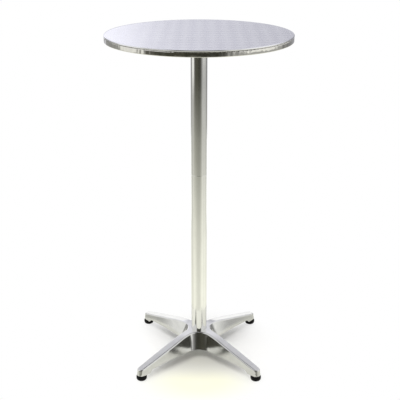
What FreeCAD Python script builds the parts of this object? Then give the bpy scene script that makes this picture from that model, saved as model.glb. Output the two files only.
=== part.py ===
import FreeCAD, Part
import math
import os

V = FreeCAD.Vector
UP = V(0, 0, 1)

# Overall size in mm: +X right, +Y away from the user, +Z up, floor at z = 0
table_height = 1150.0
top_diameter = 600.0

# Table top: sheet with a rolled bead, board, edge band, underside sheet
skin_gauge = 0.8
bead_radius = 2.8
bead_rise = 0.5
bead_run = 4.0
core_thickness = 18.0
core_inset = 6.5
liner_gauge = 0.6
band_gauge = 1.0
band_groove = 4.0
band_inset = 0.5
band_bulge = 0.1
band_foot_round = 1.6
band_lip = 11.0
tuck_gap = 0.3

# Pole: two tubes that meet at a seam
tube_diameter = 54.0
tube_wall = 2.0
seam_height = 682.0
seam_chamfer = 0.4
spigot_length = 90.0
spigot_wall = 3.5
spigot_web = 8.0
slide_fit = 0.1

# Star base
hub_top = 95.0
hub_reach = 40.0
hub_core = 56.0
leg_slope = 13.6
leg_slope_start = 73.0
leg_blend = 30.0
leg_end_radius = 16.0
foot_circle = 278.0
hub_draft = 20.0
hub_corner = 48.0
nose_draft = 8.0
leg_wall = 4.5
leg_roof = 6.0
leg_underside = 36.0
leg_level_run = 165.0
leg_end_underside = 31.0
boss_start = 255.0
boss_ramp = 11.0
edge_round = 5.0
socket_floor = 40.0
socket_web = 8.0
socket_web_diameter = 72.0
socket_mouth = 0.85
socket_gap = 0.15

# Tie rod through the pole
rod_diameter = 10.0
rod_gap = 0.5
rod_washer_diameter = 34.0
rod_washer_gauge = 2.5
rod_nut_flats = 16.0
rod_nut_height = 8.0
rod_nut_face = 15.0
rod_tail = 4.0
rod_chamfer = 1.0
rod_bite = 34.0
thread_fit = 0.05

# Levelling feet
pad_diameter = 36.0
pad_round = 8.0
pad_belly = 9.0
pad_height = 20.0
pad_shoulder = 7.5
foot_gap = 0.5
stud_diameter = 8.0
stud_length = 29.0
stud_chamfer = 0.8
stud_depth_in_pad = 11.0
stud_room = 2.0

# Fold: hinge behind the pole, under the top
plate_gauge = 3.0
plate_width = 150.0
plate_front = 70.0
plate_back = 96.0
plate_corner = 14.0
screw_rows = 4
screw_inset = 13.0
screw_diameter = 4.4
screw_head_diameter = 9.0
screw_head_height = 2.4
screw_head_round = 1.4
screw_bite = 10.0
screw_room = 1.0
drive_flats = 3.0
drive_depth = 1.3
hinge_offset = 46.0
hinge_drop = 16.0
barrel_radius = 10.0
barrel_length = 48.0
ear_gauge = 4.0
ear_radius = 12.0
ear_root = 36.0
friction_gauge = 1.5
bolt_diameter = 8.0
bolt_tail = 2.0
running_fit = 0.05
nut_flats = 13.0
nut_height = 8.0
nut_face = 12.0
nut_washer_gauge = 1.6
nut_washer_diameter = 17.0
thrust_gauge = 3.0

# Pivot head on the pole
head_plug = 40.0
collar_diameter = 60.0
collar_height = 6.0
collar_round = 1.5
tube_top_drop = 45.0
platform_width = 68.0
platform_front = 42.0
platform_back = 24.0
platform_height = 8.0
platform_corner = 8.0
column_foot_diameter = 50.0
column_head_diameter = 40.0
arm_step = 4.0
arm_depth = 14.0
arm_shy = 1.0
stop_height = 8.0
rib_gauge = 6.0
rib_spread = 26.4
rib_inset = 6.0
rib_foot = 14.0
rest_height = 5.0
rest_diameter = 14.0
rest_taper = 1.5
rest_stem = 6.0
rest_side_inset = 11.0
rest_front_inset = 12.0
fold_stop_gap = 0.2

# Cam lever that clamps the hinge
cam_radius = 7.5
cam_throw = 1.0
cam_gap = 0.15
cheek_gauge = 5.0
eye_thickness = 7.0
eye_radius = 6.5
eye_neck = 2.0
eye_room = 1.0
cheek_gap = 0.3
pin_diameter = 6.0
pin_proud = 0.5
lever_length = 92.0
lever_gauge = 6.0
lever_offset = 1.5
tang_gauge = 4.0
grip_length = 52.0
grip_wall = 2.5
grip_proud = 0.5
grip_round = 2.2

# Levels and radii that follow from the sizes above
top_radius = top_diameter / 2
flat_z = table_height - bead_rise
core_top = flat_z - skin_gauge
core_bottom = core_top - core_thickness
liner_bottom = core_bottom - liner_gauge
bead_z = table_height - bead_radius
curl_z = table_height - 2 * bead_radius
core_radius = top_radius - core_inset
tuck_radius = core_radius + tuck_gap
plate_bottom = liner_bottom - plate_gauge
hinge_z = plate_bottom - hinge_drop
platform_z = plate_bottom - rest_height
tube_top = liner_bottom - tube_top_drop
tube_radius = tube_diameter / 2
tube_bore = tube_radius - tube_wall
spigot_radius = tube_bore - slide_fit
spigot_bore = spigot_radius - spigot_wall
rod_bottom = socket_floor - socket_web - rod_washer_gauge - rod_nut_height - rod_tail
ear_inner = barrel_length / 2 + friction_gauge
ear_outer = ear_inner + ear_gauge
thrust_face = ear_outer + thrust_gauge
cam_x = thrust_face + cam_radius + cam_throw + cam_gap
cheek_inner = eye_thickness / 2 + cheek_gap
cheek_outer = cheek_inner + cheek_gauge
lever_x = cam_x + lever_offset
lever_end = hinge_offset - lever_length
arm_width = barrel_length - 2 * arm_step
arm_bottom = hinge_z - arm_depth
boss_bottom = pad_height + foot_gap
hub_lean = math.tan(math.radians(hub_draft))
nose_lean = math.tan(math.radians(nose_draft))
slope = math.tan(math.radians(leg_slope))


def line(a, b):
    return Part.LineSegment(a, b).toShape()


def arc(a, b, c):
    return Part.Arc(a, b, c).toShape()


def rz(r, z):
    return V(r, 0, z)


def turned(edges):
    return Part.Face(Part.Wire(edges)).revolve(V(), UP, 360)


def turned_polygon(points):
    return Part.Face(Part.makePolygon(points + points[:1])).revolve(V(), UP, 360)


def post(radius, z0, z1, x=0.0, y=0.0):
    return Part.makeCylinder(radius, z1 - z0, V(x, y, z0))


def ring(inner, outer, z0, z1):
    return post(outer, z0, z1).cut(post(inner, z0 - 1, z1 + 1))


def axle(radius, x0, x1, y=hinge_offset, z=hinge_z):
    return Part.makeCylinder(radius, abs(x1 - x0), V(min(x0, x1), y, z), V(1, 0, 0))


def block(x0, x1, y0, y1, z0, z1):
    return Part.makeBox(x1 - x0, y1 - y0, z1 - z0, V(x0, y0, z0))


def upright_edges(solid):
    found = []
    for edge in solid.Edges:
        ends = [v.Point for v in edge.Vertexes]
        if len(ends) == 2 and (ends[0] - ends[1]).cross(UP).Length < 1e-6:
            found.append(edge)
    return found


def rounded_slab(x0, x1, y0, y1, z0, z1, corner):
    slab = block(x0, x1, y0, y1, z0, z1)
    return slab.makeFillet(corner, upright_edges(slab))


def hex_prism(flats, height):
    radius = flats / math.sqrt(3)
    points = []
    for i in range(7):
        angle = math.radians(60 * i)
        points.append(V(radius * math.cos(angle), radius * math.sin(angle), 0))
    return Part.Face(Part.makePolygon(points)).extrude(V(0, 0, height))


# Hexagon nut on the axis, with a bore and its lower corners chamfered down to a round face
def hex_nut(flats, height, face, bolt):
    spread = 2 * height
    corner_cone = Part.makeCone(face / 2, face / 2 + spread * math.sqrt(3), spread)
    nut = hex_prism(flats, height).common(corner_cone)
    return nut.cut(post(bolt / 2 + thread_fit, -height, 2 * height))


def fused(solids):
    return solids[0].multiFuse(solids[1:]).removeSplitter()


def save(name, shape):
    shape.exportStep("parts/" + name + ".step")


# Bead: the sheet's edge rises a little, rolls over and tucks in above the band
def bead_path(lift):
    crest = top_radius - bead_radius
    rise_start = crest - bead_run
    rise = Part.BSplineCurve()
    ends = [rz(rise_start, flat_z - lift), rz(crest, table_height - lift)]
    rise.interpolate(Points=ends, InitialTangent=V(1, 0, 0), FinalTangent=V(1, 0, 0))
    roll = arc(rz(crest, table_height - lift), rz(top_radius - lift, bead_z), rz(crest, curl_z + lift))
    flat = line(rz(0, flat_z - lift), ends[0])
    tuck = line(rz(crest, curl_z + lift), rz(tuck_radius, curl_z + lift))
    return [flat, rise.toShape(), roll, tuck]


def make_top_skin():
    outer = bead_path(0.0)
    inner = bead_path(skin_gauge)
    tip = line(rz(tuck_radius, curl_z), rz(tuck_radius, curl_z + skin_gauge))
    middle = line(rz(0, core_top), rz(0, flat_z))
    return turned(Part.__sortEdges__(outer + [tip] + inner + [middle]))


# Outer side of the band, or its inner side one gauge in: round corner, slightly convex face, round corner
def band_side(depth):
    foot = liner_bottom - band_gauge
    side = top_radius - band_inset - band_bulge
    neck = top_radius - band_groove
    heel = side - band_foot_round
    high = curl_z - (side - neck)
    low = foot + band_foot_round
    slant = math.sqrt(0.5)
    upper = (side - neck - depth) * slant
    lower = (band_foot_round - depth) * slant
    crown = rz(side + band_bulge - depth, (high + low) / 2)
    top = rz(side - depth, high)
    bottom = rz(side - depth, low)
    shoulder = arc(rz(neck, curl_z - depth), rz(neck + upper, high + upper), top)
    sole = arc(bottom, rz(heel + lower, low - lower), rz(heel, foot + depth))
    return [shoulder, arc(top, crown, bottom), sole]


# Band: a lip under the bead, the side, and a lip under the board
def make_rim_band():
    foot = liner_bottom - band_gauge
    neck = top_radius - band_groove
    heel = top_radius - band_inset - band_bulge - band_foot_round
    lip = core_radius - band_lip
    edges = band_side(0.0) + band_side(band_gauge)
    edges.append(line(rz(heel, foot), rz(lip, foot)))
    edges.append(line(rz(lip, foot), rz(lip, liner_bottom)))
    edges.append(line(rz(lip, liner_bottom), rz(heel, liner_bottom)))
    edges.append(line(rz(neck, curl_z - band_gauge), rz(tuck_radius, curl_z - band_gauge)))
    edges.append(line(rz(tuck_radius, curl_z - band_gauge), rz(tuck_radius, curl_z)))
    edges.append(line(rz(tuck_radius, curl_z), rz(neck, curl_z)))
    return turned(Part.__sortEdges__(edges))


# Two lines of screws along the plate's sides
def screw_places():
    places = []
    near = -plate_front + screw_inset
    far = plate_back - screw_inset
    for side in (-1, 1):
        for row in range(screw_rows):
            y = near + (far - near) * row / (screw_rows - 1)
            places.append((side * (plate_width / 2 - screw_inset), y))
    return places


def screw_holes(fit, z0, z1):
    holes = [post(screw_diameter / 2 + fit, z0, z1, x, y) for x, y in screw_places()]
    return Part.makeCompound(holes)


def make_top_core():
    core = post(core_radius, core_bottom, core_top)
    return core.cut(screw_holes(thread_fit, liner_bottom, core_bottom + screw_bite + screw_room))


def make_underside_liner():
    sheet = post(core_radius, liner_bottom, core_bottom)
    return sheet.cut(screw_holes(slide_fit, plate_bottom, core_top))


# Ear outline: straight sides from the plate that meet the round end squarely
def ear_blank(radius, root, x0, x1):
    reach = math.hypot(root / 2, hinge_drop)
    swing = math.acos(radius / reach)
    lean = math.atan2(hinge_drop, root / 2)
    touch = lean - swing
    y1 = radius * math.cos(touch)
    z1 = radius * math.sin(touch)
    corners = [(-root / 2, hinge_drop), (root / 2, hinge_drop), (y1, z1), (-y1, z1)]
    points = [V(x0, hinge_offset + y, hinge_z + z) for y, z in corners]
    sides = Part.Face(Part.makePolygon(points + points[:1])).extrude(V(x1 - x0, 0, 0))
    return sides.fuse(axle(radius, x0, x1))


def make_tilt_plate():
    half = plate_width / 2
    plate = rounded_slab(-half, half, -plate_front, plate_back, plate_bottom, liner_bottom, plate_corner)
    ears = [ear_blank(ear_radius, ear_root, s * ear_inner, s * ear_outer) for s in (-1, 1)]
    body = fused([plate] + ears)
    body = body.cut(screw_holes(slide_fit, plate_bottom - plate_gauge, core_bottom))
    return body.cut(axle(bolt_diameter / 2 + slide_fit, -thrust_face, thrust_face))


# One screw, head down: a rounded head with a hexagon socket, and a plain shank
def make_screw():
    head = screw_head_diameter / 2
    crown = -screw_head_height
    shoulder = crown + screw_head_round
    bow = screw_head_round * math.sqrt(0.5)
    flat = head - screw_head_round
    shank = screw_diameter / 2
    tip = plate_gauge + liner_gauge + screw_bite
    edges = [line(rz(0, crown), rz(flat, crown))]
    edges.append(arc(rz(flat, crown), rz(flat + bow, shoulder - bow), rz(head, shoulder)))
    outline = [rz(head, shoulder), rz(head, 0), rz(shank, 0), rz(shank, tip), rz(0, tip), rz(0, crown)]
    for a, b in zip(outline, outline[1:]):
        edges.append(line(a, b))
    drive = hex_prism(drive_flats, drive_depth)
    drive.translate(V(0, 0, crown))
    return turned(edges).cut(drive)


def make_plate_screws():
    screws = []
    for x, y in screw_places():
        screw = make_screw()
        screw.translate(V(x, y, plate_bottom))
        screws.append(screw)
    return Part.makeCompound(screws)


# Axle bolt: nut end on the left, eye for the lever's pin on the right
def make_hinge_eye_bolt():
    tail = -ear_outer - nut_washer_gauge - nut_height - bolt_tail
    neck_start = cam_x - eye_radius - eye_neck
    low = hinge_z - eye_thickness / 2
    high = hinge_z + eye_thickness / 2
    eye = post(eye_radius, low, high, cam_x, hinge_offset)
    flats = block(tail, cam_x, hinge_offset - bolt_diameter, hinge_offset + bolt_diameter, low, high)
    neck = axle(bolt_diameter / 2, neck_start, cam_x).common(flats)
    body = fused([axle(bolt_diameter / 2, tail, neck_start), neck, eye])
    return body.cut(pin_bore(slide_fit))


def pin_bore(fit):
    reach = 2 * cheek_outer
    return post(pin_diameter / 2 + fit, hinge_z - reach, hinge_z + reach, cam_x, hinge_offset)


def on_axle(shape, x):
    shape.rotate(V(), V(0, 1, 0), 90)
    shape.translate(V(x, hinge_offset, hinge_z))
    return shape


def make_hinge_lock_nut():
    nut = hex_nut(nut_flats, nut_height, nut_face, bolt_diameter)
    return on_axle(nut, -ear_outer - nut_washer_gauge - nut_height)


def make_hinge_nut_washer():
    washer = ring(bolt_diameter / 2 + slide_fit, nut_washer_diameter / 2, 0, nut_washer_gauge)
    return on_axle(washer, -ear_outer - nut_washer_gauge)


def make_friction_washers():
    inner = bolt_diameter / 2 + slide_fit
    left = on_axle(ring(inner, barrel_radius, 0, friction_gauge), -ear_inner)
    right = on_axle(ring(inner, barrel_radius, 0, friction_gauge), barrel_length / 2)
    return Part.makeCompound([left, right])


def make_thrust_washer():
    return on_axle(ring(bolt_diameter / 2 + slide_fit, ear_radius, 0, thrust_gauge), ear_outer)


# Lever: two cam cheeks on the pin, a bar forward and a slim tang for the grip
def cam_cheek(z0, z1):
    return post(cam_radius, z0, z1, cam_x - cam_throw, hinge_offset)


def lever_bar(y0, y1, width, gauge):
    half = gauge / 2
    return block(lever_x - half, lever_x + half, y0, y1, hinge_z - width / 2, hinge_z + width / 2)


def lever_tang(y1):
    return lever_bar(lever_end + grip_wall, y1, 2 * cheek_outer - 2 * grip_wall, tang_gauge)


def make_cam_lever():
    low = cam_cheek(hinge_z - cheek_outer, hinge_z - cheek_inner)
    high = cam_cheek(hinge_z + cheek_inner, hinge_z + cheek_outer)
    grip_end = lever_end + grip_length
    bar = lever_bar(grip_end, hinge_offset, 2 * cheek_outer, lever_gauge)
    slot_start = hinge_offset - eye_radius - eye_room
    slot = lever_bar(slot_start, hinge_offset + eye_radius, 2 * cheek_inner, 2 * lever_gauge)
    body = fused([bar.cut(slot), low, high, lever_tang(grip_end)])
    return body.cut(pin_bore(running_fit))


def make_lever_grip():
    grip_end = lever_end + grip_length
    width = 2 * (cheek_outer + grip_proud)
    grip = lever_bar(lever_end, grip_end, width, lever_gauge + 2 * grip_proud)
    grip = grip.makeFillet(grip_round, grip.Edges)
    return grip.cut(lever_tang(grip_end + grip_wall))


def make_lever_pin():
    half = cheek_outer + pin_proud
    return post(pin_diameter / 2, hinge_z - half, hinge_z + half, cam_x, hinge_offset)


# Head casting: plug in the tube, collar, column, platform for the rests, arm with the hinge barrel
def rest_places():
    across = platform_width / 2 - rest_side_inset
    return [(s * across, -platform_front + rest_front_inset) for s in (-1, 1)]


# Two webs under the platform's front, from the collar up
def head_rib(x):
    top = platform_z - platform_height
    foot = tube_top + collar_height / 2
    corners = [(-platform_front + rib_inset, top), (0, top), (0, foot), (-rib_foot, foot)]
    points = [V(x - rib_gauge / 2, y, z) for y, z in corners]
    return Part.Face(Part.makePolygon(points + points[:1])).extrude(V(rib_gauge, 0, 0))


def make_pivot_head():
    plug = post(spigot_radius, tube_top - head_plug, tube_top)
    collar = post(collar_diameter / 2, tube_top, tube_top + collar_height)
    collar = collar.makeFillet(collar_round, [e for e in collar.Edges if e.Length > collar_diameter])
    column_height = platform_z - tube_top - platform_height / 2
    foot = V(0, 0, tube_top)
    column = Part.makeCone(column_foot_diameter / 2, column_head_diameter / 2, column_height, foot)
    half = platform_width / 2
    platform = rounded_slab(-half, half, -platform_front, platform_back,
                            platform_z - platform_height, platform_z, platform_corner)
    across = arm_width / 2
    arm = block(-across, across, 0, hinge_offset, arm_bottom, hinge_z + barrel_radius - arm_shy)
    barrel = axle(barrel_radius, -barrel_length / 2, barrel_length / 2)
    stop_face = hinge_offset + hinge_drop - fold_stop_gap
    stop = block(-across, across, hinge_offset, stop_face, arm_bottom, arm_bottom + stop_height)
    ribs = [head_rib(s * rib_spread / 2) for s in (-1, 1)]
    body = fused([plug, collar, column, platform, arm, barrel, stop] + ribs)
    bores = [axle(bolt_diameter / 2 + running_fit, -barrel_length, barrel_length)]
    bores.append(post(rod_diameter / 2 + thread_fit, tube_top - 2 * head_plug, tube_top))
    bores += [post(rest_stem / 2 + thread_fit, platform_z - 2 * platform_height, plate_bottom, x, y)
              for x, y in rest_places()]
    return body.cut(Part.makeCompound(bores))


def make_rest_bumpers():
    bumpers = []
    for x, y in rest_places():
        tip = rest_diameter / 2 - rest_taper
        cap = Part.makeCone(rest_diameter / 2, tip, rest_height, V(x, y, platform_z))
        stem = post(rest_stem / 2, platform_z - platform_height, platform_z, x, y)
        bumpers.append(cap.fuse(stem).removeSplitter())
    return Part.makeCompound(bumpers)


# Pole
def make_tube(z0, z1, low_chamfer, high_chamfer):
    outline = [rz(tube_bore, z0), rz(tube_radius - low_chamfer, z0)]
    if low_chamfer > 0:
        outline.append(rz(tube_radius, z0 + low_chamfer))
    if high_chamfer > 0:
        outline.append(rz(tube_radius, z1 - high_chamfer))
    outline += [rz(tube_radius - high_chamfer, z1), rz(tube_bore, z1)]
    return turned_polygon(outline)


def make_joint_spigot():
    half = spigot_length / 2
    sleeve = ring(spigot_bore, spigot_radius, seam_height - half, seam_height + half)
    web_low = seam_height - spigot_web / 2
    web = ring(rod_diameter / 2 + rod_gap, spigot_bore + spigot_wall / 2, web_low, web_low + spigot_web)
    return sleeve.fuse(web).removeSplitter()


def make_tie_rod():
    radius = rod_diameter / 2
    tip = radius - rod_chamfer
    top = tube_top - head_plug + rod_bite
    return turned_polygon([rz(0, rod_bottom), rz(tip, rod_bottom), rz(radius, rod_bottom + rod_chamfer),
                           rz(radius, top - rod_chamfer), rz(tip, top), rz(0, top)])


def make_tie_rod_washer():
    top = socket_floor - socket_web
    return ring(rod_diameter / 2 + rod_gap, rod_washer_diameter / 2, top - rod_washer_gauge, top)


def make_tie_rod_nut():
    nut = hex_nut(rod_nut_flats, rod_nut_height, rod_nut_face, rod_diameter)
    nut.translate(V(0, 0, socket_floor - socket_web - rod_washer_gauge - rod_nut_height))
    return nut


# Base outline at one level: four tapered legs with round ends and round inner corners.
# The legs' walls touch both rounds, so they stand steeper at the ends than at the hub
def star_wire(z, inset):
    end_round = leg_end_radius - (z - boss_bottom) * nose_lean
    corner = hub_reach + (hub_top - z) * hub_lean + hub_corner
    across = corner / math.sqrt(2)
    back = across - foot_circle
    lean = math.atan2(back, across) + math.acos((hub_corner + end_round) / math.hypot(across, back))
    hollow = hub_corner + inset
    tip = end_round - inset
    edges = []
    for leg in range(4):
        angle = math.radians(45 + 90 * leg)
        out = V(math.cos(angle), math.sin(angle), 0)
        left = V(-math.sin(angle), math.cos(angle), 0)
        lift = V(0, 0, z)
        normal_l = out * math.sin(lean) + left * math.cos(lean)
        normal_r = out * math.sin(lean) - left * math.cos(lean)
        end = out * foot_circle + lift
        bisector = (out + left) / math.sqrt(2)
        before = (out - left) / math.sqrt(2) * corner + lift
        after = bisector * corner + lift
        next_r = left * math.sin(lean) + out * math.cos(lean)
        root_r = before - normal_r * hollow
        root_l = after - normal_l * hollow
        edges.append(line(root_r, end + normal_r * tip))
        edges.append(arc(end + normal_r * tip, end + out * tip, end + normal_l * tip))
        edges.append(line(end + normal_l * tip, root_l))
        edges.append(arc(root_l, after - bisector * hollow, after - next_r * hollow))
    return Part.Wire(edges)


def star_solid(z0, z1, inset):
    return Part.makeLoft([star_wire(z0, inset), star_wire(z1, inset)], True, True)


# Side profile of hub and leg, the same all round: flat hub, blend, straight slope
def top_profile(drop, end):
    knee = leg_slope_start
    z = hub_top - drop
    turn = math.radians(leg_slope)
    half = turn / 2
    radius = leg_blend / math.tan(half)
    start = rz(knee - leg_blend, z)
    finish = rz(knee + leg_blend * math.cos(turn), z - leg_blend * math.sin(turn))
    middle = rz(knee - leg_blend + radius * math.sin(half), z - radius * (1 - math.cos(half)))
    last = rz(end, z - (end - knee) * slope)
    return [line(rz(0, z), start), arc(start, middle, finish), line(finish, last)]


def profile_solid(drop, end, under):
    edges = top_profile(drop, end)
    last = edges[-1].Vertexes[-1].Point
    path = [last] + under + [rz(0, hub_top - drop)]
    for a, b in zip(path, path[1:]):
        edges.append(line(a, b))
    return turned(edges)


def make_base_casting():
    far = foot_circle + 2 * leg_end_radius
    under = [rz(far, boss_bottom), rz(boss_start, boss_bottom), rz(boss_start - boss_ramp, leg_end_underside),
             rz(leg_level_run, leg_underside), rz(0, leg_underside)]
    above = hub_top + edge_round
    body = star_solid(boss_bottom, above, 0.0).common(profile_solid(0.0, far, under))
    body = rounded_top(body)
    hollow = star_solid(0, above, leg_wall)
    channel = profile_solid(leg_roof, boss_start, [rz(boss_start, 0), rz(0, 0)])
    channel = channel.cut(post(hub_core, 0, hub_top))
    body = body.cut(hollow.common(channel))
    body = body.fuse(post(socket_web_diameter / 2, socket_floor - socket_web, socket_floor))
    socket = tube_radius + socket_gap
    bores = [post(socket, socket_floor, above)]
    mouth = 2 * socket_mouth
    bores.append(Part.makeCone(socket, socket + mouth, mouth, V(0, 0, hub_top - socket_mouth)))
    bores.append(post(rod_diameter / 2 + rod_gap, 0, hub_top))
    stud_top = pad_height - stud_depth_in_pad + stud_length + stud_room
    bores += [post(stud_diameter / 2 + running_fit, 0, stud_top, x, y) for x, y in foot_places().values()]
    return body.cut(Part.makeCompound(bores)).removeSplitter()


# Rounds the outer top edge of hub and legs, all the way round
def rounded_top(body):
    counts = {}
    for face in body.Faces:
        u0, u1, v0, v1 = face.ParameterRange
        if face.normalAt((u0 + u1) / 2, (v0 + v1) / 2).z > 0.9:
            for edge in face.Edges:
                counts.setdefault(edge.hashCode(), []).append(edge)
    rim = [found[0] for found in counts.values() if len(found) == 1]
    return body.makeFillet(edge_round, rim)


# Feet
def foot_places():
    reach = foot_circle / math.sqrt(2)
    return {"fl": (-reach, -reach), "fr": (reach, -reach), "rl": (-reach, reach), "rr": (reach, reach)}


def make_foot_pad(x, y):
    r = pad_diameter / 2
    bow = 1 - math.sqrt(0.5)
    sole = r - pad_round
    top = r - pad_shoulder
    shoulder = pad_height - pad_shoulder
    inset = pad_shoulder * bow
    edges = [line(rz(0, 0), rz(sole, 0))]
    edges.append(arc(rz(sole, 0), rz(r - pad_round * bow, pad_belly * bow), rz(r, pad_belly)))
    edges.append(line(rz(r, pad_belly), rz(r, shoulder)))
    edges.append(arc(rz(r, shoulder), rz(r - inset, pad_height - inset), rz(top, pad_height)))
    edges.append(line(rz(top, pad_height), rz(0, pad_height)))
    edges.append(line(rz(0, pad_height), rz(0, 0)))
    socket = post(stud_diameter / 2 + running_fit, pad_height - stud_depth_in_pad, pad_height + 1)
    pad = turned(edges).cut(socket)
    pad.translate(V(x, y, 0))
    return pad


def make_foot_stud(x, y):
    radius = stud_diameter / 2
    z0 = pad_height - stud_depth_in_pad
    z1 = z0 + stud_length
    stud = turned_polygon([rz(0, z0), rz(radius, z0), rz(radius, z1 - stud_chamfer),
                           rz(radius - stud_chamfer, z1), rz(0, z1)])
    stud.translate(V(x, y, 0))
    return stud


os.makedirs("parts", exist_ok=True)
save("top_skin", make_top_skin())
save("top_core", make_top_core())
save("rim_band", make_rim_band())
save("underside_liner", make_underside_liner())
save("tilt_plate", make_tilt_plate())
save("plate_screws", make_plate_screws())
save("hinge_eye_bolt", make_hinge_eye_bolt())
save("hinge_lock_nut", make_hinge_lock_nut())
save("hinge_nut_washer", make_hinge_nut_washer())
save("friction_washers", make_friction_washers())
save("thrust_washer", make_thrust_washer())
save("cam_lever", make_cam_lever())
save("lever_grip", make_lever_grip())
save("lever_pin", make_lever_pin())
save("pivot_head", make_pivot_head())
save("rest_bumpers", make_rest_bumpers())
save("upper_tube", make_tube(seam_height, tube_top, seam_chamfer, 0.0))
save("lower_tube", make_tube(socket_floor, seam_height, 0.0, seam_chamfer))
save("joint_spigot", make_joint_spigot())
save("tie_rod", make_tie_rod())
save("tie_rod_washer", make_tie_rod_washer())
save("tie_rod_nut", make_tie_rod_nut())
save("base_casting", make_base_casting())
for corner, place in foot_places().items():
    save("foot_pad_" + corner, make_foot_pad(*place))
    save("foot_stud_" + corner, make_foot_stud(*place))
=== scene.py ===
import math
import bpy
import bmesh
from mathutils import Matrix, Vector


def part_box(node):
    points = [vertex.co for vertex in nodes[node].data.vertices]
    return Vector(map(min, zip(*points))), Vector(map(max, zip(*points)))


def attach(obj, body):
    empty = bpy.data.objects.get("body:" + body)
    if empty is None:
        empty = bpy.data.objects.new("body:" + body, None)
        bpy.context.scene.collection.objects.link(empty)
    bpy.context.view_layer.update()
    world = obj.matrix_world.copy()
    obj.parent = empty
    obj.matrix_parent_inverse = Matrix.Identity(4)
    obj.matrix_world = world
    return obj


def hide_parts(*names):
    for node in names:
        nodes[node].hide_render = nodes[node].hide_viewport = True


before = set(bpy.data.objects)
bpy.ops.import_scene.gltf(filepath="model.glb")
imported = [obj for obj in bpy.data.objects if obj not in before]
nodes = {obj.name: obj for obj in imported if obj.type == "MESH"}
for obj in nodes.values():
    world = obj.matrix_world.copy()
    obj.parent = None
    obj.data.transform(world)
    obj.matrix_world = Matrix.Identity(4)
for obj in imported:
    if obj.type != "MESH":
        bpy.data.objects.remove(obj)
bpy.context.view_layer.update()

corners = ("fl", "fr", "rl", "rr")              # front and rear, left and right
scene = bpy.context.scene
scene.view_settings.view_transform = "Standard"
print("frame loaded,", len(nodes), "nodes")


class Wire:                                     # a socket that takes part in sums
    def __init__(self, finish, socket):
        self.finish = finish
        self.socket = socket

    def sum(self, operation, *terms):
        return self.finish.node("ShaderNodeMath", {"operation": operation}, dict(enumerate(terms)))

    def __add__(self, other):
        return self.sum("ADD", self, other)

    __radd__ = __add__

    def __sub__(self, other):
        return self.sum("SUBTRACT", self, other)

    def __rsub__(self, other):
        return self.sum("SUBTRACT", other, self)

    def __mul__(self, other):
        return self.sum("MULTIPLY", self, other)

    __rmul__ = __mul__

    def __truediv__(self, other):
        return self.sum("DIVIDE", self, other)

    def __abs__(self):
        return self.sum("ABSOLUTE", self)


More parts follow.
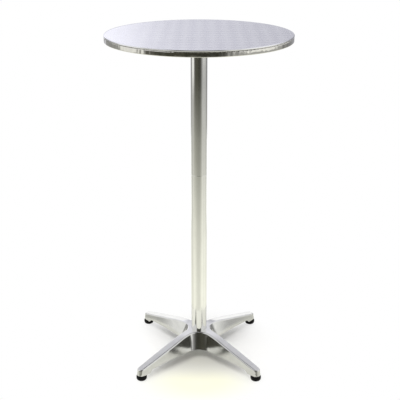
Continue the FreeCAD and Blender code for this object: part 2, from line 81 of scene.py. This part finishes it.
class Finish:                                   # one node tree and the way nodes get into it
    def __init__(self, owner):
        owner.use_nodes = True
        self.owner = owner
        self.tree = owner.node_tree
        self.tree.nodes.clear()

    def node(self, kind, settings={}, inputs={}, out=0):
        made = self.tree.nodes.new(kind)
        for name, value in settings.items():
            if name == "stops":
                self.fillRamp(made.color_ramp, value)
            else:
                setattr(made, name, value)
        for key, value in inputs.items():
            if isinstance(value, Wire):
                self.tree.links.new(value.socket, made.inputs[key])
            else:
                made.inputs[key].default_value = value
        return Wire(self, made.outputs[out]) if made.outputs else made

    def fillRamp(self, ramp, stops):
        while len(ramp.elements) < len(stops):
            ramp.elements.new(0.5)
        for element, (place, colour) in zip(ramp.elements, stops):
            element.position = place
            element.color = (*colour, 1)

    def point(self):                            # the piece's own coordinates, metres
        return self.node("ShaderNodeTexCoord", out="Object")

    def parts(self, vector):
        split = self.node("ShaderNodeSeparateXYZ", inputs={0: vector})
        return [Wire(self, s) for s in split.socket.node.outputs]

    def stretch(self, vector, scale):
        return self.node("ShaderNodeMapping", inputs={"Vector": vector, "Scale": scale})

    def turn(self, vector, degrees):            # about the pole's axis
        angle = (0, 0, math.radians(degrees))
        return self.node("ShaderNodeMapping", inputs={"Vector": vector, "Rotation": angle})

    def length(self, vector):
        return self.node("ShaderNodeVectorMath", {"operation": "LENGTH"}, {0: vector}, out="Value")

    def upright(self, vector, share):           # scaled along the height alone
        return self.stretch(vector, (1, 1, share))

    def radius(self, vector):                   # distance from the pole's axis
        return self.length(self.upright(vector, 0))

    def larger(self, first, second):
        return self.node("ShaderNodeMath", {"operation": "MAXIMUM"}, {0: first, 1: second})

    def smaller(self, first, second):
        return self.node("ShaderNodeMath", {"operation": "MINIMUM"}, {0: first, 1: second})

    def noise(self, vector, scale, detail=2.0, rough=0.5):
        values = {"Vector": vector, "Scale": scale, "Detail": detail, "Roughness": rough}
        return self.node("ShaderNodeTexNoise", inputs=values)

    def ease(self, value, low, high):           # 0 below low, 1 above high
        return self.node("ShaderNodeMapRange", {"interpolation_type": "SMOOTHSTEP"}, {0: value, 1: low, 2: high})

    def between(self, value, low, full, fade, high):      # 1 from full to fade
        return self.ease(value, low, full) * (1 - self.ease(value, fade, high))

    def ramp(self, value, stops):
        return self.node("ShaderNodeValToRGB", {"stops": stops}, {0: value})

    def mix(self, factor, first, second):       # colours; a plain tuple gets its alpha here
        ends = [c if isinstance(c, Wire) else (*c, 1) for c in (first, second)]
        return self.node("ShaderNodeMix", {"data_type": "RGBA"}, {0: factor, 6: ends[0], 7: ends[1]}, out=2)

    def patch(self, point, ahead, narrow, start, end):    # 1 at a spot on the floor, fading outwards
        values = {"Vector": point, "Location": (0, ahead, 0), "Scale": (narrow, 1, 1)}
        return 1 - self.ease(self.length(self.node("ShaderNodeMapping", inputs=values)), start, end)

    def bump(self, height, strength, distance, normal=None):
        values = {"Height": height, "Strength": strength, "Distance": distance}
        if normal:
            values["Normal"] = normal
        return self.node("ShaderNodeBump", inputs=values)

    def surface(self, inputs):                  # principled shader to the output
        plain = {k: (*v, 1) if isinstance(v, tuple) and len(v) == 3 else v for k, v in inputs.items()}
        shader = self.node("ShaderNodeBsdfPrincipled", inputs=plain)
        self.node("ShaderNodeOutputMaterial", inputs={"Surface": shader})
        return self.owner

    def metal(self, tint, rough, normal):
        return self.surface({"Base Color": tint, "Metallic": 1.0, "Roughness": rough, "Normal": normal})


def newFinish(name):
    return Finish(bpy.data.materials.new(name))


def dress(material, *names):                    # CAD nodes keep their mesh, the finish goes in the slot
    for name in names:
        piece = nodes[name]
        piece.data.materials.clear()
        piece.data.materials.append(material)


# In the dictionaries below: Scale is a pattern's fineness and Up its scale along the height, Edge is where a
# mask starts and is full, Rough is what is added to the roughness, and a bump is its strength and its depth in metres

# Table sheet: stainless, brushed in squares that turn a quarter from one to the next
sheet = {"pale": (0.79, 0.79, 0.825), "bright": (0.835, 0.835, 0.86), "cloud": (0.74, 0.74, 0.775),
         "cloudScale": 9.0, "cloudEdge": (0.42, 0.72), "cloudShare": 0.35,
         "square": 0.030, "turn": 45, "strokes": (60, 2600), "flatRadius": 0.2925, "flatEdge": 0.0015,
         "rough": 0.27, "strokeRough": 0.10, "squareRough": 0.05, "beadRough": 0.10, "bump": (0.07, 0.0004)}


def sheetFinish():
    f = newFinish("brushedSquares")
    point = f.point()
    turned = f.turn(point, sheet["turn"])
    end, edge = sheet["flatRadius"], sheet["flatEdge"]
    onFlat = 1 - f.ease(f.radius(point), end - edge, end + edge)    # the bead has no squares
    squares = {"Vector": f.upright(turned, 0), "Scale": 1 / sheet["square"]}
    check = f.node("ShaderNodeTexChecker", inputs=squares, out="Fac")
    coarse, fine = sheet["strokes"]
    along = f.noise(f.stretch(turned, (coarse, fine, 0)), 1.0, 3.0)
    across = f.noise(f.stretch(turned, (fine, coarse, 0)), 1.0, 3.0)
    strokes = along * check + across * (1 - check)
    cloud = f.noise(point, sheet["cloudScale"], 3.0)
    tint = f.mix(check * onFlat, sheet["pale"], sheet["bright"])
    tint = f.mix(f.ease(cloud, *sheet["cloudEdge"]) * sheet["cloudShare"], tint, sheet["cloud"])
    brush = (strokes - 0.5) * sheet["strokeRough"] + check * sheet["squareRough"]
    rough = sheet["beadRough"] + onFlat * (sheet["rough"] - sheet["beadRough"] + brush)
    return f.metal(tint, rough, f.bump(strokes * onFlat, *sheet["bump"]))


# Edge band: rolled strip, polished, a little wavy where it went round the rollers
band = {"bright": (0.73, 0.72, 0.67), "dull": (0.66, 0.65, 0.61), "face": (0.2940, 0.2985),
        "waveScale": 26.0, "waveUp": 0.25, "wave": (0.8, 0.005),
        "kinkScale": 95.0, "kinkUp": 0.1, "kinkEdge": (0.35, 0.75), "kink": (0.35, 0.0014), "lipKink": 0.15,
        "scratchScale": 260.0, "scratchUp": 14, "scratchEdge": (0.55, 0.8), "scratchRough": 0.08,
        "rough": 0.055, "lipRough": 0.16}


def bandFinish():
    f = newFinish("rolledBand")
    point = f.point()
    onFace = f.ease(f.radius(point), *band["face"])       # the lip below stays plainer
    wave = f.noise(f.upright(point, band["waveUp"]), band["waveScale"])
    kinks = f.noise(f.upright(point, band["kinkUp"]), band["kinkScale"])
    scratch = f.noise(f.upright(point, band["scratchUp"]), band["scratchScale"])
    tint = f.mix(f.ease(kinks, *band["kinkEdge"]), band["dull"], band["bright"])
    rough = band["rough"] + f.ease(scratch, *band["scratchEdge"]) * band["scratchRough"]
    rough = rough + (1 - onFace) * (band["lipRough"] - band["rough"])
    waves = f.bump(wave * onFace, *band["wave"])
    kinkShare = onFace * (1 - band["lipKink"]) + band["lipKink"]
    return f.metal(tint, rough, f.bump(kinks * kinkShare, *band["kink"], waves))


# Pole tube: drawn aluminium, polished, with fine lines along its length
tube = {"colour": (0.86, 0.86, 0.84), "low": 0.955, "upperPaintedShade": 0.97, "lowerPaintedLight": 1.04,
        "lineScale": 1500.0, "lineUp": 0.004, "lineRough": 0.08, "line": (0.06, 0.0003),
        "mottleScale": 38.0, "mottleUp": 0.35, "mottleEdge": (0.35, 0.7), "dullEdge": (0.5, 0.8),
        "dullRough": 0.05, "rough": 0.10}


def tubeFinish(name, tone):
    f = newFinish(name)
    point = f.point()
    lines = f.noise(f.upright(point, tube["lineUp"]), tube["lineScale"], 3.0)
    mottle = f.noise(f.upright(point, tube["mottleUp"]), tube["mottleScale"], 3.0)
    high, low = [tuple(share * tone * v for v in tube["colour"]) for share in (1.0, tube["low"])]
    tint = f.mix(f.ease(mottle, *tube["mottleEdge"]), low, high)
    dull = f.ease(mottle, *tube["dullEdge"]) * tube["dullRough"]
    rough = tube["rough"] + (lines - 0.5) * tube["lineRough"] + dull
    return f.metal(tint, rough, f.bump(lines, *tube["line"]))


# Base: aluminium casting, polished outside, left as cast inside the legs
base = {"bright": (0.70, 0.70, 0.69), "dull": (0.66, 0.66, 0.65), "cast": (0.42, 0.42, 0.42),
        "swellScale": 34.0, "swellEdge": (0.35, 0.7), "swell": (0.03, 0.004),
        "sandScale": 900.0, "sand": (0.7, 0.0006), "grainScale": 420.0, "grainRough": 0.06,
        "rough": 0.13, "castRough": 0.55}
hollow = {"turn": 45, "footCircle": 0.278, "endRadius": 0.016, "noseDraft": 8.0, "leans": (4.06, 2.30),
          "bossBottom": 0.0205, "wall": 0.0045, "hubTop": 0.095, "slope": 13.6, "slopeStart": 0.073,
          "roof": 0.006, "depth": (-0.6, -0.4), "inner": (0.052, 0.056), "outer": (0.253, 0.256)}


def insideLegs(f, point):                       # 1 on the hollow side of the legs' walls and roof
    x, y, z = f.parts(f.turn(point, hollow["turn"]))
    reach, side = f.larger(abs(x), abs(y)), f.smaller(abs(x), abs(y))
    low, high = [math.sin(math.radians(a)) for a in hollow["leans"]]
    rise = z - hollow["bossBottom"]
    lean = low + rise * ((high - low) / (hollow["hubTop"] - hollow["bossBottom"]))
    half = hollow["endRadius"] - rise * math.tan(math.radians(hollow["noseDraft"]))
    half = half + (hollow["footCircle"] - reach) * lean
    radius = f.radius(point)
    past = f.larger(radius - hollow["slopeStart"], 0.0)
    roof = hollow["hubTop"] - past * math.tan(math.radians(hollow["slope"]))
    walls = 1 - f.ease(side - half, *[share * hollow["wall"] for share in hollow["depth"]])
    ceiling = 1 - f.ease(z - roof, *[share * hollow["roof"] for share in hollow["depth"]])
    return walls * ceiling * f.between(radius, *hollow["inner"], *hollow["outer"])


def castingFinish():
    f = newFinish("polishedCasting")
    point = f.point()
    inside = insideLegs(f, point)
    swell = f.noise(point, base["swellScale"])
    grain = f.noise(point, base["grainScale"], 3.0)
    sand = f.noise(point, base["sandScale"])
    tint = f.mix(f.ease(swell, *base["swellEdge"]), base["dull"], base["bright"])
    tint = f.mix(inside, tint, base["cast"])
    rough = base["rough"] + (grain - 0.5) * base["grainRough"] + inside * (base["castRough"] - base["rough"])
    soft = f.bump(swell, *base["swell"])
    return f.metal(tint, rough, f.bump(sand * inside, *base["sand"], soft))


# Pivot head and spigot: the same metal, only tumbled
head = {"pale": (0.66, 0.66, 0.67), "dark": (0.58, 0.58, 0.59), "cloudScale": 60.0, "cloudEdge": (0.35, 0.7),
        "sandScale": 700.0, "sand": (0.35, 0.0005), "rough": 0.42, "sandRough": 0.2}


def headFinish():
    f = newFinish("tumbledCasting")
    point = f.point()
    sand = f.noise(point, head["sandScale"], 3.0)
    cloud = f.noise(point, head["cloudScale"], 3.0)
    tint = f.mix(f.ease(cloud, *head["cloudEdge"]), head["dark"], head["pale"])
    rough = head["rough"] + (sand - 0.5) * head["sandRough"]
    return f.metal(tint, rough, f.bump(sand, *head["sand"]))


# Zinc plating on the plate, the screws, the rod and the lever: faint yellow and blue bloom
zinc = {"colour": (0.62, 0.63, 0.65), "rough": 0.32, "bloomScale": 48.0,
        "blue": (0.60, 0.62, 0.67), "blueEdge": (0.3, 0.55),
        "yellow": (0.66, 0.63, 0.55), "yellowEdge": (0.52, 0.75), "yellowShare": 0.6,
        "spangleScale": 520.0, "spangleMiddle": 0.4, "spangleRough": 0.12, "spangle": (0.08, 0.0003)}
lever = {"colour": (0.70, 0.70, 0.71), "rough": 0.22}


def zincFinish(name, colour, rough):
    f = newFinish(name)
    point = f.point()
    bloom = f.noise(point, zinc["bloomScale"])
    cells = {"Vector": point, "Scale": zinc["spangleScale"]}
    spangle = f.node("ShaderNodeTexVoronoi", inputs=cells, out="Distance")
    tint = f.mix(f.ease(bloom, *zinc["blueEdge"]), zinc["blue"], colour)
    tint = f.mix(f.ease(bloom, *zinc["yellowEdge"]) * zinc["yellowShare"], tint, zinc["yellow"])
    shine = rough + (spangle - zinc["spangleMiddle"]) * zinc["spangleRough"]
    return f.metal(tint, shine, f.bump(spangle, *zinc["spangle"]))


# Underside sheet: matt black laminate with a fine pebble
liner = {"colour": (0.026, 0.026, 0.027), "dust": (0.044, 0.043, 0.042), "dustScale": 14.0,
         "dustEdge": (0.45, 0.8), "dustShare": 0.4, "rough": 0.6,
         "pebbleScale": 900.0, "pebbleMiddle": 0.4, "pebbleRough": 0.2, "pebble": (0.3, 0.0004)}


def linerFinish():
    f = newFinish("blackLaminate")
    point = f.point()
    cells = {"Vector": point, "Scale": liner["pebbleScale"]}
    pebble = f.node("ShaderNodeTexVoronoi", {"feature": "SMOOTH_F1"}, cells, out="Distance")
    dust = f.noise(point, liner["dustScale"], 4.0)
    tint = f.mix(f.ease(dust, *liner["dustEdge"]) * liner["dustShare"], liner["colour"], liner["dust"])
    rough = liner["rough"] + (pebble - liner["pebbleMiddle"]) * liner["pebbleRough"]
    return f.surface({"Base Color": tint, "Roughness": rough, "Normal": f.bump(pebble, *liner["pebble"])})


# Board: fibre board, brown with short pale fibres
board = {"colour": (0.42, 0.31, 0.20), "dark": (0.30, 0.21, 0.13), "pale": (0.52, 0.40, 0.27),
         "fibreScale": 700.0, "fibreUp": 3, "fibreRough": 0.2, "fibre": (0.4, 0.0005), "rough": 0.85,
         "layerScale": 12.0, "layerUp": 40, "layerEdge": (0.4, 0.7), "layerShare": 0.4}


def boardFinish():
    f = newFinish("fibreBoard")
    point = f.point()
    fibre = f.noise(f.upright(point, board["fibreUp"]), board["fibreScale"], 4.0, 0.7)
    layer = f.noise(f.upright(point, board["layerUp"]), board["layerScale"])
    tint = f.mix(fibre, board["dark"], board["pale"])
    tint = f.mix(f.ease(layer, *board["layerEdge"]) * board["layerShare"], tint, board["colour"])
    rough = board["rough"] + (fibre - 0.5) * board["fibreRough"]
    return f.surface({"Base Color": tint, "Roughness": rough, "Normal": f.bump(fibre, *board["fibre"])})


# Moulded black plastic: the pads scuff near the floor, the lever's grip a little all over
plastic = {"colour": (0.006, 0.006, 0.0065), "worn": (0.03, 0.029, 0.028), "gloss": 0.1, "sparkScale": 1300.0,
           "spark": (0.25, 0.0003), "sparkRough": 0.14, "wearScale": 160.0, "wearRough": 0.2}
pad = {"rough": 0.5, "wear": (0.52, 0.75), "wearTop": 0.006}
grip = {"rough": 0.38, "wear": (0.62, 0.85), "wearShare": 0.4}


def plasticFinish(name, piece):
    f = newFinish(name)
    point = f.point()
    spark = f.noise(point, plastic["sparkScale"])
    scuff = f.ease(f.noise(point, plastic["wearScale"], 4.0), *piece["wear"])
    if "wearTop" in piece:
        scuff = scuff * (1 - f.ease(f.parts(point)[2], 0.0, piece["wearTop"]))
    else:
        scuff = scuff * piece["wearShare"]
    tint = f.mix(scuff, plastic["colour"], plastic["worn"])
    shine = piece["rough"] + (spark - 0.5) * plastic["sparkRough"] + scuff * plastic["wearRough"]
    return f.surface({"Base Color": tint, "Roughness": shine, "Specular IOR Level": plastic["gloss"],
                      "Normal": f.bump(spark, *plastic["spark"])})


# White nylon discs and the rubber rests, with one fine grain
softGrain = {"edge": (0.3, 0.7), "rough": 0.12, "bump": (0.2, 0.0003)}
nylon = {"low": (0.78, 0.77, 0.72), "high": (0.86, 0.85, 0.81), "rough": 0.5, "scale": 600.0}
rubber = {"low": (0.018, 0.018, 0.018), "high": (0.035, 0.034, 0.033), "rough": 0.7, "scale": 900.0}


def softFinish(name, piece):
    f = newFinish(name)
    speck = f.noise(f.point(), piece["scale"], 3.0)
    tint = f.mix(f.ease(speck, *softGrain["edge"]), piece["low"], piece["high"])
    rough = piece["rough"] + (speck - 0.5) * softGrain["rough"]
    return f.surface({"Base Color": tint, "Roughness": rough, "Normal": f.bump(speck, *softGrain["bump"])})


plated = zincFinish("zincPlate", zinc["colour"], zinc["rough"])
dress(sheetFinish(), "top_skin")
dress(bandFinish(), "rim_band")
dress(boardFinish(), "top_core")
dress(linerFinish(), "underside_liner")
dress(plated, "tilt_plate", "plate_screws", "hinge_eye_bolt", "hinge_lock_nut", "hinge_nut_washer")
dress(plated, "thrust_washer", "lever_pin", "tie_rod", "tie_rod_washer", "tie_rod_nut")
dress(zincFinish("leverPlate", lever["colour"], lever["rough"]), "cam_lever")
dress(softFinish("nylon", nylon), "friction_washers")
dress(softFinish("rubber", rubber), "rest_bumpers")
dress(plasticFinish("gripPlastic", grip), "lever_grip")
# painted shade and painted light: the upper tube is toned a little darker, the lower a little lighter
dress(tubeFinish("drawnTube", tube["upperPaintedShade"]), "upper_tube")
dress(tubeFinish("drawnTubeLow", tube["lowerPaintedLight"]), "lower_tube")
dress(headFinish(), "pivot_head", "joint_spigot")
dress(castingFinish(), "base_casting")
dress(plasticFinish("padPlastic", pad), *["foot_pad_" + corner for corner in corners])
print("finishes on", len(nodes) - len(corners), "nodes")


# Foot studs: rolled thread, seen when a foot is screwed out. Profile: radius, share of the pitch
stud = {"pitch": 0.00125, "profile": ((0.00335, 0.0), (0.0040, 0.42), (0.0040, 0.58), (0.00335, 1.0)),
        "steps": 24, "lead": 1.5, "spareTurns": 3, "sharp": 20, "weld": 1e-6, "cut": 1e-7}


def threadedStud(corner):
    low, high = [Vector(c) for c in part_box("foot_stud_" + corner)]
    pitch, steps = stud["pitch"], stud["steps"]
    turns = int((high.z - low.z) / pitch) + stud["spareTurns"]
    shape = bmesh.new()
    row = [shape.verts.new((r, 0, low.z + (h - stud["lead"]) * pitch)) for r, h in stud["profile"]]
    edges = [shape.edges.new(pair) for pair in zip(row, row[1:])]
    bmesh.ops.spin(shape, geom=row + edges, axis=(0, 0, 1), cent=(0, 0, 0), dvec=(0, 0, pitch / steps),
                   angle=2 * math.pi * turns, steps=turns * steps, use_merge=False)
    bmesh.ops.remove_doubles(shape, verts=shape.verts, dist=stud["weld"])
    for level, away in ((low.z, -1), (high.z, 1)):        # cut square at both ends
        everything = shape.verts[:] + shape.edges[:] + shape.faces[:]
        bmesh.ops.bisect_plane(shape, geom=everything, dist=stud["cut"], plane_co=(0, 0, level),
                               plane_no=(0, 0, away), clear_outer=True)
    bmesh.ops.holes_fill(shape, edges=[e for e in shape.edges if e.is_boundary], sides=0)
    bmesh.ops.recalc_face_normals(shape, faces=shape.faces)
    middle = (low + high) / 2
    bmesh.ops.translate(shape, vec=(middle.x, middle.y, 0), verts=shape.verts)
    mesh = bpy.data.meshes.new("studThread_" + corner)
    shape.to_mesh(mesh)
    shape.free()
    mesh.shade_smooth()
    mesh.set_sharp_from_angle(angle=math.radians(stud["sharp"]))
    mesh.materials.append(plated)
    piece = bpy.data.objects.new("studThread_" + corner, mesh)
    scene.collection.objects.link(piece)
    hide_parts("foot_stud_" + corner)
    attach(piece, "stud_" + corner)
    return len(mesh.polygons)


print("threads cut,", sum(threadedStud(corner) for corner in corners), "faces")


# Room: what the metal shows, by direction. Azimuth 0 is towards the camera, minus to its left
room = {"fill": 0.86, "white": (1.0, 1.0, 1.0), "floorBlue": 0.88, "overheadBlue": 1.06,
        "behind": (0.2, 0.5), "ceilingBehind": (20, 38), "ceilingAhead": (54, 80),
        "sides": (0.38, 0.55), "sidesRise": (12, 22), "sideLight": (1.0, 1.0, 1.02)}
panes = [{"around": (48, 60, 96, 110), "rise": (-10.6, -9.2, 50, 64), "colour": (1.12, 1.12, 1.08)},
         {"around": (-113, -106, -78, -64), "rise": (-13.5, -11.5, 50, 64), "colour": (1.02, 1.02, 0.99)},
         {"around": (-178, -172, -164, -154), "rise": (2, 8, 20, 34), "colour": (1.32, 1.32, 1.42)}]
roundRoom = [(-180, (0.68, 0.68, 0.75)), (-160, (0.75, 0.75, 0.80)), (-148, (0.38, 0.38, 0.38)),
             (-122, (0.34, 0.34, 0.33)), (-110, (0.44, 0.44, 0.43)), (-87, (0.44, 0.44, 0.43)),
             (-78, (0.27, 0.27, 0.25)), (-62, (0.14, 0.135, 0.12)), (-44, (0.065, 0.065, 0.05)),
             (-22, (0.07, 0.068, 0.05)), (0, (0.040, 0.040, 0.030)), (18, (0.050, 0.050, 0.040)),
             (32, (0.14, 0.14, 0.13)), (42, (0.36, 0.36, 0.35)), (58, (0.49, 0.49, 0.48)),
             (108, (0.49, 0.49, 0.48)), (128, (0.22, 0.22, 0.22)), (150, (0.34, 0.34, 0.36)),
             (168, (0.46, 0.46, 0.50)), (180, (0.68, 0.68, 0.75))]
roundFloor = [(-180, 0.90), (-125, 0.90), (-100, 0.80), (-86, 1.06), (-52, 1.02), (-26, 0.84), (0, 0.80),
              (16, 0.85), (34, 1.02), (50, 1.12), (66, 0.98), (88, 1.06), (125, 0.98), (180, 0.90)]
upward = [(27, 1.20), (36, 1.08), (42, 0.95), (48, 0.72), (56, 0.60), (72, 0.84)]       # overhead, by rise
nearFloor = [(-27.9, 1.0), (-24.3, 0.84), (-20.8, 0.60), (-18.7, 0.43), (-16.5, 0.30), (-14.2, 0.12),
             (-12.4, 0.0)]                      # the floor's share, by rise
floorDepth = 40                                 # degrees below level that nearFloor's ramp spans


def around(degrees):                            # azimuth as the ramps count it
    return degrees / 360 + 0.5


def makeWorld():
    world = bpy.data.worlds.new("studio")
    scene.world = world
    f = Finish(world)
    x, y, z = f.parts(f.node("ShaderNodeTexCoord", out="Generated"))
    azimuth = f.node("ShaderNodeMath", {"operation": "ARCTAN2"}, {0: x, 1: 0 - y}) / (2 * math.pi) + 0.5
    rise = f.node("ShaderNodeMath", {"operation": "ARCSINE"}, {0: z}) * (180 / math.pi)
    seen = f.ramp(azimuth, [(around(a), c) for a, c in roundRoom])
    for pane in panes:
        share = f.between(azimuth, *[around(a) for a in pane["around"]]) * f.between(rise, *pane["rise"])
        seen = f.mix(share, seen, pane["colour"])
    floorTone = f.ramp(azimuth, [(around(a), (v, v, room["floorBlue"] * v)) for a, v in roundFloor])
    below = (rise + floorDepth) / floorDepth
    floorShare = f.ramp(below, [(a / floorDepth + 1, (v, v, v)) for a, v in nearFloor])
    seen = f.mix(floorShare, seen, floorTone)
    sides = f.ease(abs(x), *room["sides"]) * f.ease(rise, *room["sidesRise"])
    seen = f.mix(sides, seen, room["sideLight"])
    behind = f.ease(y, *room["behind"])
    ceiling = behind * f.ease(rise, *room["ceilingBehind"]) + (1 - behind) * f.ease(rise, *room["ceilingAhead"])
    overhead = f.ramp(rise / 90, [(a / 90, (v, v, room["overheadBlue"] * v)) for a, v in upward])
    seen = f.mix(ceiling, seen, overhead)
    glossy = f.node("ShaderNodeLightPath", out="Is Glossy Ray")
    camera = f.node("ShaderNodeLightPath", out="Is Camera Ray")
    shown = f.mix(camera, f.mix(glossy, (room["fill"],) * 3, seen), room["white"])
    light = f.node("ShaderNodeBackground", inputs={"Color": shown, "Strength": 1.0})
    f.node("ShaderNodeOutputWorld", inputs={"Surface": light})


def stagePiece(name, shape, finish):
    mesh = bpy.data.meshes.new(name)
    shape.to_mesh(mesh)
    shape.free()
    mesh.materials.append(finish.owner)
    piece = bpy.data.objects.new(name, mesh)
    scene.collection.objects.link(piece)
    return piece


# Floor: takes the shadow near the feet, goes over to white further out; its colour adds painted shade in front of the
# hub and painted warm light further out
ground = {"radius": 0.35, "segments": 96, "pale": (0.82, 0.82, 0.75), "whiteFrom": (0.15, 0.34),
          "plain": (1.0, 0.995, 0.98), "paintedLightCream": (1.0, 0.985, 0.80), "shade": (0.75, 0.74, 0.67),
          "white": (1.0, 1.0, 1.0), "paintedLightGlow": (0.988, 0.988, 0.78),
          "paintedShadePatch": (0.09, 0.72, 0.0, 0.14), "paintedLightPatch": (0.21, 0.6, 0.03, 0.14)}


def makeFloor():
    f = newFinish("paleFloor")
    point = f.point()
    shade, paintedWarmLight = [f.patch(point, *ground[name]) for name in ("paintedShadePatch", "paintedLightPatch")]
    # painted shade: the floor's lit colour goes darker towards a spot in front of the hub
    tone = f.mix(shade, f.mix(paintedWarmLight, ground["plain"], ground["paintedLightCream"]), ground["shade"])
    lit = f.node("ShaderNodeBsdfDiffuse", inputs={"Color": tone})
    # painted warm light: a cream spot further in front, in the lit colour above and in the white glow here
    glow = f.mix(paintedWarmLight, ground["white"], ground["paintedLightGlow"])
    white = f.node("ShaderNodeEmission", inputs={"Color": glow, "Strength": 1.0})
    whiteShare = f.ease(f.length(point), *ground["whiteFrom"])
    seen = f.node("ShaderNodeMixShader", inputs={0: whiteShare, 1: lit, 2: white})
    pale = f.node("ShaderNodeBsdfDiffuse", inputs={"Color": (*ground["pale"], 1)})
    camera = f.node("ShaderNodeLightPath", out="Is Camera Ray")
    both = f.node("ShaderNodeMixShader", inputs={0: camera, 1: pale, 2: seen})
    under = f.node("ShaderNodeNewGeometry", out="Backfacing")       # from below the floor lets the base show
    clear = f.node("ShaderNodeBsdfTransparent")
    shown = f.node("ShaderNodeMixShader", inputs={0: under, 1: both, 2: clear})
    f.node("ShaderNodeOutputMaterial", inputs={"Surface": shown})
    shape = bmesh.new()
    bmesh.ops.create_circle(shape, cap_ends=True, radius=ground["radius"], segments=ground["segments"])
    floor = stagePiece("floor", shape, f)


# White foot of the backdrop, seen only in the metal
backdrop = {"half": 0.9, "behind": 1.10, "height": 0.46, "strength": 1.28}


def makeSweep():
    f = newFinish("whiteSweep")
    white = f.node("ShaderNodeEmission", inputs={"Color": (1, 1, 1, 1), "Strength": backdrop["strength"]})
    f.node("ShaderNodeOutputMaterial", inputs={"Surface": white})
    shape = bmesh.new()
    half, top = backdrop["half"], backdrop["height"]
    outline = [(-half, 0), (half, 0), (half, top), (-half, top)]
    shape.faces.new([shape.verts.new((x, backdrop["behind"], z)) for x, z in outline])
    sweep = stagePiece("sweep", shape, f)
    sweep.visible_camera = False
    sweep.visible_diffuse = False
    sweep.visible_shadow = False


# Lamp: one large soft square above, in front and a little to the left
lamp = {"power": 46.0, "size": 2.2, "place": (-0.6, -1.0, 3.2), "target": (0, 0, 0.3)}


def makeLamp():
    light = bpy.data.lights.new("softLamp", "AREA")
    light.shape = "SQUARE"
    light.size = lamp["size"]
    light.energy = lamp["power"]
    holder = bpy.data.objects.new("softLamp", light)
    holder.location = lamp["place"]
    holder.rotation_euler = (Vector(lamp["target"]) - holder.location).to_track_quat("-Z", "Y").to_euler()
    holder.visible_glossy = False
    scene.collection.objects.link(holder)


# Camera where the photograph was taken from, with its frame's small shift. Focal and shift in pixels
view = {"place": (0.015, -2.541, 1.554), "dip": 21.65, "turn": 0.338, "focal": 797.2, "frame": 400,
        "shift": (1.0, 11.5), "sensor": 36}


def makeCamera():
    lens = bpy.data.cameras.new("camera")
    lens.sensor_width = view["sensor"]
    lens.lens = view["focal"] / view["frame"] * view["sensor"]
    lens.shift_x, lens.shift_y = [s / view["frame"] for s in view["shift"]]
    camera = bpy.data.objects.new("camera", lens)
    camera.location = view["place"]
    camera.rotation_euler = (math.radians(90 - view["dip"]), 0, math.radians(view["turn"]))
    scene.collection.objects.link(camera)
    scene.camera = camera


makeWorld()
makeFloor()
makeSweep()
makeLamp()
makeCamera()
print("studio and camera set")
